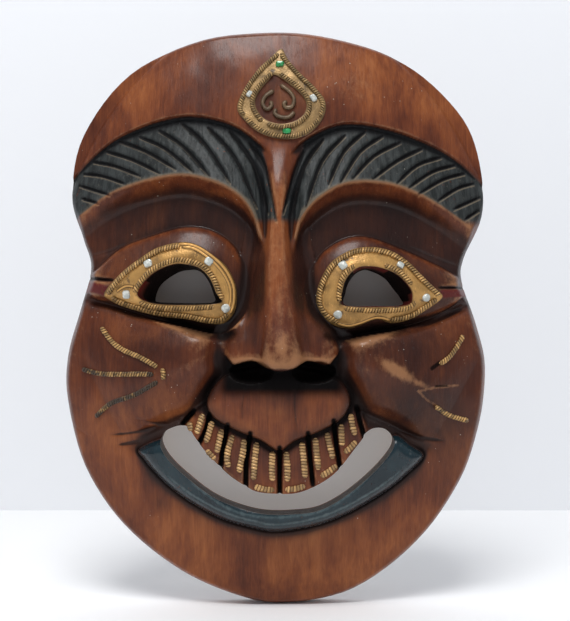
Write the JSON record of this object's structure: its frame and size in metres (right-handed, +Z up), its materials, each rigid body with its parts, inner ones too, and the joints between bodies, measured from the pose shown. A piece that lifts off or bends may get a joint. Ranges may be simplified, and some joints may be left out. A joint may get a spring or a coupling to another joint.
{
  "type": "wall mask",
  "caption": "Carved wooden wall mask of a grinning face, with sunken dark brows, eye holes framed in gilt plate, applied gilt bead strips, glass chips and a sawtooth hanger.",
  "frame": {"origin": "the point in the sawtooth hanger where the wall nail bears, on the plane of the wall", "axes": "+Z up, -Y the way the face looks, +X to the viewer's right; the back rim lies on y = 0"},
  "size_m": [0.214, 0.0523, 0.291],
  "materials": {
    "carved_wood": "reddish-brown stain, waxed semi-gloss, dark in the hollows and worn tan on the ridges; slate green brows, dark teal lower lip",
    "gilt_plate": "antique gilt, unevenly worn",
    "gilt_bead": "antique gilt moulded bead, dark in the notches",
    "white_chip": "cloudy white glass, glossy",
    "green_chip": "green glass, glossy",
    "scroll": "dark worn gilt over brown putty",
    "hanger_steel": "yellowed zinc plate",
    "nail_steel": "bright steel, slightly rusted"
  },
  "bodies": {
    "root": {"crest_bead_bottom": "gilt_bead", "crest_bead_inner_left": "gilt_bead", "crest_bead_inner_right": "gilt_bead", "crest_bead_left": "gilt_bead", "crest_bead_right": "gilt_bead", "crest_chip_bottom": "green_chip", "crest_chip_left": "white_chip", "crest_chip_right": "white_chip", "crest_chip_top": "green_chip", "crest_plate": "gilt_plate", "crest_scroll_foot": "scroll", "crest_scroll_side": "scroll", "crest_scroll_stem": "scroll", "hanger_nails": "nail_steel", "left_eye_bead_inner_lower": "gilt_bead", "left_eye_bead_inner_upper": "gilt_bead", "left_eye_bead_outer_lower": "gilt_bead", "left_eye_bead_outer_upper": "gilt_bead", "left_eye_chip_1": "white_chip", "left_eye_chip_2": "white_chip", "left_eye_chip_3": "white_chip", "left_eye_chip_4": "white_chip", "left_eye_plate": "gilt_plate", "left_whisker_link": "gilt_bead", "left_whisker_lower": "gilt_bead", "left_whisker_middle": "gilt_bead", "left_whisker_upper": "gilt_bead", "mask_body": "carved_wood", "right_eye_bead_inner_lower": "gilt_bead", "right_eye_bead_inner_nose": "gilt_bead", "right_eye_bead_inner_outer": "gilt_bead", "right_eye_bead_outer_lower": "gilt_bead", "right_eye_bead_outer_upper": "gilt_bead", "right_eye_chip_1": "white_chip", "right_eye_chip_2": "white_chip", "right_eye_chip_3": "white_chip", "right_eye_chip_4": "white_chip", "right_eye_plate": "gilt_plate", "right_whisker_lower": "gilt_bead", "right_whisker_upper": "gilt_bead", "sawtooth_hanger": "hanger_steel", "tooth_1_left_strip": "gilt_bead", "tooth_1_right_strip": "gilt_bead", "tooth_2_bottom_strip": "gilt_bead", "tooth_2_left_strip": "gilt_bead", "tooth_2_right_strip": "gilt_bead", "tooth_3_left_strip": "gilt_bead", "tooth_3_right_strip": "gilt_bead", "tooth_4_bottom_strip": "gilt_bead", "tooth_4_left_strip": "gilt_bead", "tooth_4_right_strip": "gilt_bead", "tooth_5_bottom_strip": "gilt_bead", "tooth_5_left_strip": "gilt_bead", "tooth_5_right_strip": "gilt_bead", "tooth_6_bottom_strip": "gilt_bead", "tooth_6_left_strip": "gilt_bead", "tooth_6_right_strip": "gilt_bead", "tooth_7_bottom_strip": "gilt_bead", "tooth_7_left_strip": "gilt_bead", "tooth_7_right_strip": "gilt_bead"}
  },
  "joints": []
}
